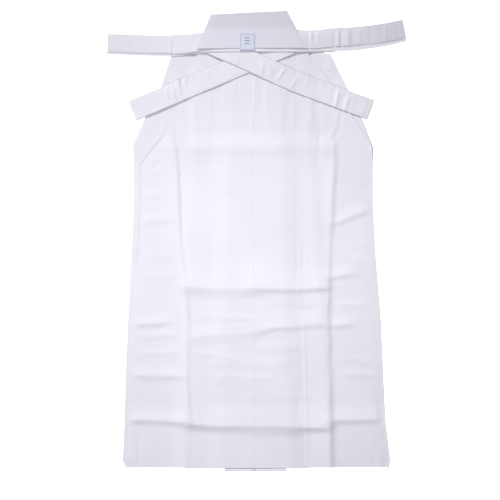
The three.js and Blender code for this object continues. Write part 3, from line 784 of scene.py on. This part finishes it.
FRONT_TIES = {
    "right": {
        "start": (BAND_RIGHT + GAP, 935.5), "fold": (172, 936), "bend": (112, 938.5),
        "path": [(74.8, 928.2), (-273.6, 782.6)],
        "slip": (1.2, 2.4), "raised": 2.6, "seed": 41,
    },
    "left": {
        "start": (BAND_LEFT - GAP, 925), "fold": (-190, 925), "bend": (-140, 930),
        "path": [(-107, 932.5), (0.5, 885.4), (47.4, 863), (99.5, 841), (164.3, 817.6), (251.3, 785.2)],
        "slip": (-1, 1.8), "raised": 0, "seed": 51,
    },
}
FOLDED_LAYERS = 4
RAISED_STARTS = (-296, -262)
RAISED_ENDS = (-212, -150)


def raise_lower_edge(layer, height):
    """Lifts the lower edge of a layer off the cloth near its left end."""
    x, z = layer[..., 0], layer[..., 2]
    ends = (1, 0) if layer[0, 0, 1] < layer[0, -1, 1] else (0, 1)
    z += height * np.linspace(*ends, z.shape[1]) * smooth(x, *RAISED_STARTS) * (1 - smooth(x, *RAISED_ENDS))


def lay_front_tie(name, tie):
    """Out of the waistband, folded back, then to and fro over the back."""
    size = (FRONT_TIE_WIDTH, FRONT_TIE_THICKNESS)
    seed = tie["seed"]
    layers = [
        lay_layer([tie["start"], tie["fold"]], *size, 0, seed, stiffness=0.3),
        lay_layer([tie["fold"], tie["bend"], *tie["path"]], *size, HIDDEN_RUFFLE, seed + 2, True, **LIMP),
    ]
    for k in range(1, FOLDED_LAYERS):
        share = k / (FOLDED_LAYERS - 1)
        route = [(x + share * tie["slip"][0], y + share * tie["slip"][1]) for x, y in tie["path"]]
        forth = k % 2 == 0
        if not forth:
            route.reverse()
        ruffle = SHOWN_RUFFLE if share == 1 else HIDDEN_RUFFLE
        layers.append(lay_layer(route, *size, ruffle, seed + 2 + 2 * k, forth, **LIMP))
    raise_lower_edge(layers[-1], tie["raised"])
    return tie_object(name, layers, FRONT_TIE_THICKNESS), layers[-1]


BACK_TIES = {
    "left_over": [
        (-104, 937), (-122, 935.5), (-146, 931), (-168, 928),
        (-190, 930), (-234, 930), (-300, 933), (-328, 933.5),
    ],
    "left_under": [
        (-328, 929), (-300, 927.5), (-278, 926), (-234, 924.8), (-212, 923.7),
        (-168, 924.6), (-146, 927.7), (-100, 932), (160, 934),
    ],
    "right_over": [
        (84, 942), (100, 941), (117, 939.5), (139, 941), (161, 945.3),
        (205, 946.3), (227, 948.4), (271, 953.2), (293, 957.2), (324.5, 963.8),
    ],
    "right_under": [
        (324.5, 956.5), (293, 948.2), (271, 944), (249, 941.4), (227, 937.8),
        (205, 935.3), (183, 935.4), (139, 934.6), (107, 933), (-186, 932.5),
    ],
}

TILT_STARTS = [112, 190, 240, 330]
TILT_SLOPES = [0.05, 0.2, 0.28, 0.28]


def tie_tilt(x, y):
    """How far the right back tie's upper edge stands up, from the board to its end."""
    centre = np.array(BACK_TIES["right_over"])
    low_edge = np.interp(x, centre[:, 0], centre[:, 1]) - BACK_TIE_WIDTH / 2
    return np.interp(x, TILT_STARTS, TILT_SLOPES) * np.maximum(y - low_edge, 0)


def lay_back_ties():
    size = (BACK_TIE_WIDTH, BACK_TIE_THICKNESS)
    left_under = lay_layer(BACK_TIES["left_under"], *size, 0.2, 61, True, 0.45)
    right_under = lay_layer(BACK_TIES["right_under"], *size, 0.2, 63, True, 0.45)
    left_over = lay_layer(BACK_TIES["left_over"], *size, 0.5, 65)
    right_over = lay_layer(BACK_TIES["right_over"], *size, 0.8, 67)
    for layer in (right_under, right_over):
        layer[..., 2] += tie_tilt(layer[..., 0], layer[..., 1])
    left = tie_object("back_tie_left_cloth", [left_over, left_under], BACK_TIE_THICKNESS)
    right = tie_object("back_tie_right_cloth", [right_over, right_under], BACK_TIE_THICKNESS)
    return left, right, left_over, right_over


# Waist board.
BOARD_THICKNESS = 1.7
BOARD_SIDE = 0.5
BOARD_SIDE_RUN = 14
BOARD_ARCH = 4.0
BOARD_ARCH_X = -25
BOARD_HALF = 115
BOARD_BEND = 964
BOARD_TILT = math.radians(11)
# A plate's corners go round from the lower left by the right.
BOARD_CORNERS = [(-133, 919), (112, 921), (67, 1002), (-100, 994)]
EDGE_STEPS = [0, 0.3, 0.9, 1.8, 2.8, 3.6, 4.4, 6.5]
EDGE_HALF = [0, 0.62, 0.9, 1.0, 1.0, 0.93, 1.0, 1.0]


def spaced(length, step):
    """Places along a side, crowded at both ends where the edge is rounded and stitched."""
    inner = np.linspace(EDGE_STEPS[-1], length - EDGE_STEPS[-1], max(2, int(length / step)))
    ends = np.array(EDGE_STEPS[:-1])
    return np.concatenate([ends, inner, length - ends[::-1]])


def plate_object(name, corners, height_at, thickness, step, edge_scale=1.0, share_at=None):
    """A closed plate between four corners with rounded, stitched edges, its middle at height_at(x, y)."""
    low_left, low_right, top_right, top_left = np.array(corners, float)
    wide = np.linalg.norm(low_right - low_left)
    tall = np.linalg.norm(top_left - low_left)
    across = spaced(wide / edge_scale, step / edge_scale) * edge_scale
    up = spaced(tall / edge_scale, step / edge_scale) * edge_scale
    s, t = np.meshgrid(across / wide, up / tall, indexing="xy")
    left = lerp(low_left, top_left, t[..., None])
    right = lerp(low_right, top_right, t[..., None])
    plan = lerp(left, right, s[..., None])
    inset = np.minimum(np.minimum(s, 1 - s) * wide, np.minimum(t, 1 - t) * tall) / edge_scale
    half = np.interp(inset, EDGE_STEPS, EDGE_HALF) * thickness / 2
    middle = height_at(plan[..., 0], plan[..., 1])
    share = share_at(plan[..., 0], plan[..., 1]) if share_at else 1
    upper = np.dstack([plan, middle - half + 2 * half * share])
    lower = np.dstack([plan, middle - half])
    rows, columns = s.shape
    count = rows * columns
    vertices = np.concatenate([upper.reshape(-1, 3), lower.reshape(-1, 3)])
    rim = (inset < 1e-6).ravel()
    below = np.where(rim, np.arange(count), np.arange(count) + count)
    faces = np.concatenate([grid_faces(rows, columns), below[grid_faces(rows, columns, flip=True)]])
    used = np.unique(faces)
    renumber = np.zeros(2 * count, int)
    renumber[used] = np.arange(len(used))
    uv = np.concatenate([plan.reshape(-1, 2)] * 2)
    return new_object(name, vertices[used], renumber[faces].tolist(), uv[used])


def board_share(x, y):
    """How much of its thickness the board keeps: less towards its two slanted sides."""
    low_left, low_right, top_right, top_left = BOARD_CORNERS
    left = np.interp(y, *zip(low_left[::-1], top_left[::-1]))
    right = np.interp(y, *zip(low_right[::-1], top_right[::-1]))
    side = np.minimum(x - left, right - x)
    return 1 - BOARD_SIDE * (1 - smooth(side, 0, BOARD_SIDE_RUN))


def board_arch(x):
    """How far the board, curved to fit the wearer's back, sinks towards its ends."""
    return BOARD_ARCH * ((x - BOARD_ARCH_X) / BOARD_HALF) ** 2


def board_rest():
    """The middle of the board's thickness where it lies on the ties."""
    low_left, low_right = BOARD_CORNERS[:2]
    x = np.arange(low_left[0], low_right[0], CELL)[:, None]
    y = np.arange(low_right[1], BOARD_BEND, CELL)[None, :]
    needed = pile_height(x + 0 * y, y + 0 * x) + board_arch(x)
    return needed.max() + TIE_GAP + BOARD_THICKNESS / 2


STITCH_SPACING = 3.4
STITCH_LENGTH = 2.3
STITCH_WIDTH = 0.5
STITCH_RISE = 0.45
STITCH_DEPTH = 0.37
STITCH_LIFT = 0.05


def stitches(name, path, lift):
    """A row of short raised threads along a path on a surface."""
    path = np.array(path, float)
    reach = np.concatenate([[0], np.cumsum(np.linalg.norm(np.diff(path, axis=0), axis=1))])
    starts = np.arange(STITCH_SPACING, reach[-1] - STITCH_SPACING, STITCH_SPACING)

    def along(distance):
        return np.stack([np.interp(distance, reach, path[:, k]) for k in range(3)], -1)

    first, last = along(starts), along(starts + STITCH_LENGTH)
    up = np.array([0, 0, 1.0])
    side = unit(np.cross(unit(last - first), up)) * STITCH_WIDTH / 2
    rise = up * STITCH_WIDTH * STITCH_RISE
    rings = []
    for share, size in [(0.0, 0.3), (0.25, 1.0), (0.75, 1.0), (1.0, 0.3)]:
        middle = lerp(first, last, share) + up * lift * size
        rings.append(np.stack([middle + side * size, middle + rise * size, middle - side * size], 1))
    vertices = np.stack(rings, 1).reshape(-1, 3)
    faces = []
    for k in range(len(starts)):
        base = 12 * k
        for ring in range(3):
            a = base + 3 * ring
            for j in range(3):
                n = (j + 1) % 3
                faces.append([a + j, a + n, a + 3 + n, a + 3 + j])
        faces.append([base + 2, base + 1, base])
        faces.append([base + 9, base + 10, base + 11])
    return new_object(name, vertices, faces, vertices[:, :2])


# Materials.
def fill(made, inputs):
    """Sets a node's inputs, each to a value or from another node's output."""
    for key, value in inputs.items():
        if isinstance(value, bpy.types.NodeSocket):
            made.id_data.links.new(value, made.inputs[key])
        else:
            made.inputs[key].default_value = value


def node(tree, kind, inputs=(), **settings):
    made = tree.nodes.new("ShaderNode" + kind)
    for name, value in settings.items():
        setattr(made, name, value)
    fill(made, dict(inputs))
    return made


def cloth_material(name, colour, tint, weave=0.00042, crumple=1.0):
    """Plain white weave: a thread grid and small crumples as bump, with a slow change of tint."""
    material = bpy.data.materials.new(name)
    material.use_nodes = True
    tree = material.node_tree
    cloth_uv = node(tree, "UVMap", uv_map="cloth").outputs["UV"]
    where = node(tree, "TexCoord").outputs["Object"]

    slow = node(tree, "TexNoise", {"Vector": where, "Scale": 7, "Detail": 3})
    ramp = node(tree, "ValToRGB", {"Fac": slow.outputs["Fac"]})
    for stop, position, shade in zip(ramp.color_ramp.elements, (0.36, 0.66), (tint, colour)):
        stop.position = position
        stop.color = (*shade, 1)

    threads = {"Vector": cloth_uv, "Scale": 1 / (weave * 20), "Distortion": 0.6, "Detail": 1}
    waves = {}
    for k, direction in enumerate("XY"):
        wave = node(tree, "TexWave", threads, wave_type="BANDS", bands_direction=direction)
        waves[k] = wave.outputs["Fac"]
    grid = node(tree, "Math", waves, operation="MAXIMUM").outputs["Value"]
    mixed = {"Factor": 0.06, "A": ramp.outputs["Color"], "B": grid}
    tinted = node(tree, "Mix", mixed, data_type="RGBA", blend_type="MULTIPLY")

    fine = node(tree, "TexNoise", {"Vector": where, "Scale": 95, "Detail": 4})
    crumples = node(tree, "Bump", {
        "Strength": 0.5 * crumple, "Distance": 0.0005, "Height": fine.outputs["Fac"],
    })
    grain = node(tree, "Bump", {
        "Strength": 0.35, "Distance": 0.00008, "Height": grid, "Normal": crumples.outputs["Normal"],
    })
    fill(tree.nodes["Principled BSDF"], {
        "Roughness": 0.82, "Sheen Weight": 0.25, "Sheen Roughness": 0.5, "Specular IOR Level": 0.3,
        "Base Color": tinted.outputs["Result"], "Normal": grain.outputs["Normal"],
    })
    return material


# Each cloth's colour and its slow second tint, then the weave's pitch and the strength of the crumples.
CLOTH = cloth_material("cloth_white", (0.85, 0.83, 0.89), (0.82, 0.80, 0.865))
CLOTH_UNDER = cloth_material("cloth_underside", (0.84, 0.82, 0.885), (0.82, 0.80, 0.87))
TIE_CLOTH = cloth_material("cloth_tie", (0.85, 0.83, 0.89), (0.82, 0.80, 0.865), 0.00036, 0.7)
BOARD_CLOTH = cloth_material("cloth_board", (0.79, 0.77, 0.85), (0.77, 0.75, 0.83), 0.00036, 0.5)
LABEL_CLOTH = cloth_material("cloth_label", (0.73, 0.755, 0.87), (0.70, 0.73, 0.85), 0.0003, 0.3)
THREAD = cloth_material("thread", (0.84, 0.83, 0.92), (0.80, 0.79, 0.90), 0.0003, 0.2)
BLUE_THREAD = cloth_material("thread_blue", (0.30, 0.42, 0.62), (0.27, 0.39, 0.58), 0.0003, 0.2)
PALE_THREAD = cloth_material("thread_pale_blue", (0.66, 0.70, 0.83), (0.63, 0.67, 0.80), 0.0003, 0.2)


def dress(obj, material, nodes=()):
    obj.data.materials.append(material)
    if nodes:
        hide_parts(*nodes)
    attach(obj, "root")
    return obj


def cut(points):
    """The size that a folded panel was cut to, with the area of the panel laid out."""
    lengths = cloth_lengths(points)
    width = lengths[..., 0].max()
    length = lengths[..., 1].max()
    cells = np.cross(np.diff(points, axis=1)[:-1], np.diff(points, axis=0)[:, :-1])
    area = min(np.linalg.norm(cells, axis=-1).sum(), width * length)
    return (width * MM, length * MM), float(area) * MM * MM


def build_panel(node_name, points, material, even=False):
    """A sheet in place of its node. Works out the size that it was cut to, but does not keep it."""
    piece = dress(sheet_object(f"{node_name}_cloth", points, even), material, [node_name])
    size, area = cut(points)


def build_panels():
    front_y = np.linspace(0, FRONT_LENGTH, 170)
    hem_y = [0, 0.7, 1.5, 2.5, 3.5, 4.5, 5.5, 7, 9, 11, 13.5]
    back_y = np.concatenate([hem_y, np.linspace(16.5, BACK_LENGTH, 285)])
    for side in ("left", "right"):
        front, back = f"front_panel_{side}", f"back_panel_{side}"
        build_panel(front, front_points(side, front_y), CLOTH_UNDER)
        build_panel(back, back_points(side, back_y), CLOTH, even=True)


def build_gussets():
    y = np.linspace(0, GUSSET_HEIGHT, 60)
    for side, sign in (("left", -1), ("right", 1)):
        inner = UNDERLAY_CENTRE + sign * GAP / 2
        outer = inner + sign * lerp(GUSSET_HEM, GUSSET_FORK, y / GUSSET_HEIGHT)
        section = Section(y, np.full_like(y, inner), level_height(PLATEAU_LEVEL))
        section.line(outer, level_height(PLATEAU_LEVEL), 14)
        build_panel(f"gusset_{side}", section.points(), CLOTH_UNDER)


def build_band():
    count = int((BAND_RIGHT - BAND_LEFT) / STATION)
    x = np.linspace(BAND_LEFT, BAND_RIGHT, count)
    centre = np.empty((count, len(ACROSS), 3))
    centre[..., 0] = x[:, None]
    centre[..., 1] = BAND_BOTTOM + BAND_WIDTH / 2 + ACROSS[None, :] * BAND_WIDTH / 2
    centre[..., 2] = BAND_THICKNESS / 2 + BAND_GAP
    band = tube_object("front_waistband_cloth", centre, BAND_THICKNESS)
    dress(band, TIE_CLOTH, ["front_waistband"])


def dress_tie(node_name, tie, layer, thickness):
    """A tie in place of its node, with two lines of stitches in the grooves of the layer that shows."""
    dress(tie, TIE_CLOTH, [node_name])
    for k, place_across in enumerate((-GROOVE, GROOVE)):
        column = int(np.argmin(np.abs(ACROSS - place_across)))
        line = layer[:, column] + np.array([0, 0, thickness * STITCH_DEPTH])
        dress(stitches(f"{node_name}_stitches_{k + 1}", line, STITCH_LIFT), THREAD)


def build_ties():
    for side in ("right", "left"):
        tie, layer = lay_front_tie(f"front_tie_{side}_cloth", FRONT_TIES[side])
        dress_tie(f"front_tie_{side}", tie, layer, FRONT_TIE_THICKNESS)
    left, right, left_over, right_over = lay_back_ties()
    for side, tie, over in (("left", left, left_over), ("right", right, right_over)):
        dress_tie(f"back_tie_{side}", tie, over, BACK_TIE_THICKNESS)


BOARD_STITCH_INSET = 3.6
BOARD_STITCH_DEPTH = 0.47


def build_board():
    """The board with its line of stitches all round. Gives the height of its flat part's face."""
    rest = board_rest()

    def height(x, y):
        return rest - board_arch(x) + np.maximum(y - BOARD_BEND, 0) * math.tan(BOARD_TILT)

    name = "waist_board_cloth"
    board = plate_object(name, BOARD_CORNERS, height, BOARD_THICKNESS, 4, share_at=board_share)
    dress(board, BOARD_CLOTH, ["waist_board"])

    inwards = np.array([(1, 1), (-1, 1), (-1, -1), (1, -1)])
    corners = np.array(BOARD_CORNERS) + inwards * BOARD_STITCH_INSET
    for k in range(4):
        a, b = corners[k], corners[(k + 1) % 4]
        line = np.array([lerp(a, b, t) for t in np.linspace(0, 1, 40)])
        x, y = line.T
        face = height(x, y) + BOARD_THICKNESS * BOARD_STITCH_DEPTH * (2 * board_share(x, y) - 1)
        path = np.column_stack([line, face])
        dress(stitches(f"waist_board_stitches_{k + 1}", path, 0.0), THREAD)
    return rest + BOARD_THICKNESS / 2


# Label: its edges, and its plain bars and border strips as middles and half sizes.
LABEL_LEFT = -37.5
LABEL_RIGHT = -3.5
LABEL_BOTTOM = 915.5
LABEL_TOP = 952.5
LABEL_THICKNESS = 0.6
LABEL_MIDDLE = (LABEL_LEFT + LABEL_RIGHT) / 2
BAR_THICKNESS = 0.3
BAR_LIFT = 0.05
LABEL_BARS = [(LABEL_MIDDLE, y, half, 1.2) for y, half in [(943, 4.5), (936.5, 6), (930, 4.5)]]
BORDER_STRIPS = [
    *[(LABEL_MIDDLE, y, 14.5, 0.45) for y in (LABEL_BOTTOM + 2, LABEL_TOP - 2)],
    *[(x, (LABEL_BOTTOM + LABEL_TOP) / 2, 0.45, 16) for x in (LABEL_LEFT + 2, LABEL_RIGHT - 2)],
]


def level_plate(name, left, right, bottom, top, middle, thickness, step, edge_scale):
    """An upright rectangle as a plate, level at a height."""
    corners = [(left, bottom), (right, bottom), (right, top), (left, top)]

    def height(x, y):
        return middle + 0 * x

    return plate_object(name, corners, height, thickness, step, edge_scale)


def build_label(board_face):
    middle = board_face + GAP + LABEL_THICKNESS / 2
    edges = (LABEL_LEFT, LABEL_RIGHT, LABEL_BOTTOM, LABEL_TOP)
    label = level_plate("label_cloth", *edges, middle, LABEL_THICKNESS, 1.5, 0.25)
    dress(label, LABEL_CLOTH, ["label"])
    face = middle + LABEL_THICKNESS / 2 + BAR_LIFT
    for k, (x, y, half_x, half_y) in enumerate(LABEL_BARS + BORDER_STRIPS):
        edges = (x - half_x, x + half_x, y - half_y, y + half_y)
        piece = level_plate(f"label_bar_{k + 1}", *edges, face, BAR_THICKNESS, 0.6, 0.1)
        dress(piece, BLUE_THREAD if k < len(LABEL_BARS) else PALE_THREAD)


# Camera, floor and light.
FRAME_WIDTH = 1100
CAMERA_HEIGHT = 4000
FACE_HEIGHT = 5
VIEW_X = -14.3
VIEW_Y = 477.4
FLOOR_REACH = 6.0
FLOOR_DROP = 0.0004
SUN_FROM = (-0.5, 0.87)
SUN_ELEVATION = math.radians(40)
LAMP_PLACE = (-120, 515, 820)


def build_camera():
    """Straight above the garment, as in the photo."""
    data = bpy.data.cameras.new("camera")
    data.sensor_width = 36
    data.lens = data.sensor_width * CAMERA_HEIGHT / FRAME_WIDTH
    data.clip_end = 20
    camera = add_object("camera", data)
    camera.location = place([VIEW_X, VIEW_Y, CAMERA_HEIGHT + FACE_HEIGHT])
    bpy.context.scene.camera = camera


def build_stage():
    mesh = bpy.data.meshes.new("floor")
    corners = [(-1, -1), (1, -1), (1, 1), (-1, 1)]
    mesh.from_pydata([(a * FLOOR_REACH, b * FLOOR_REACH, 0) for a, b in corners], [], [(0, 1, 2, 3)])
    floor = add_object("floor", mesh)
    floor.location.z = -FLOOR_DROP
    material = bpy.data.materials.new("floor_white")
    material.use_nodes = True
    fill(material.node_tree.nodes["Principled BSDF"], {
        "Base Color": (0.98, 0.98, 0.98, 1), "Roughness": 0.9,
        "Emission Color": (1, 1, 1, 1), "Emission Strength": 0.8,
    })
    mesh.materials.append(material)


def build_light():
    """A cool dome, a soft sun from the upper left and a small lamp over the middle of the back."""
    world = bpy.data.worlds.new("studio")
    world.use_nodes = True
    fill(world.node_tree.nodes["Background"], {"Color": (0.90, 0.92, 1.0, 1), "Strength": 0.24})
    bpy.context.scene.world = world
    sun = bpy.data.lights.new("key", "SUN")
    sun.energy = 2.19
    sun.angle = math.radians(12)
    towards = Vector((*SUN_FROM, math.tan(SUN_ELEVATION)))
    add_object("key", sun).rotation_euler = towards.to_track_quat("Z", "Y").to_euler()
    soft = bpy.data.lights.new("soft", "AREA")
    soft.size = 0.4
    soft.energy = 3.05
    add_object("soft", soft).location = place(LAMP_PLACE)
    bpy.context.scene.view_settings.view_transform = "Standard"


build_camera()
build_panels()
build_gussets()
build_band()
pile_panels()
build_ties()
build_label(build_board())
build_stage()
build_light()
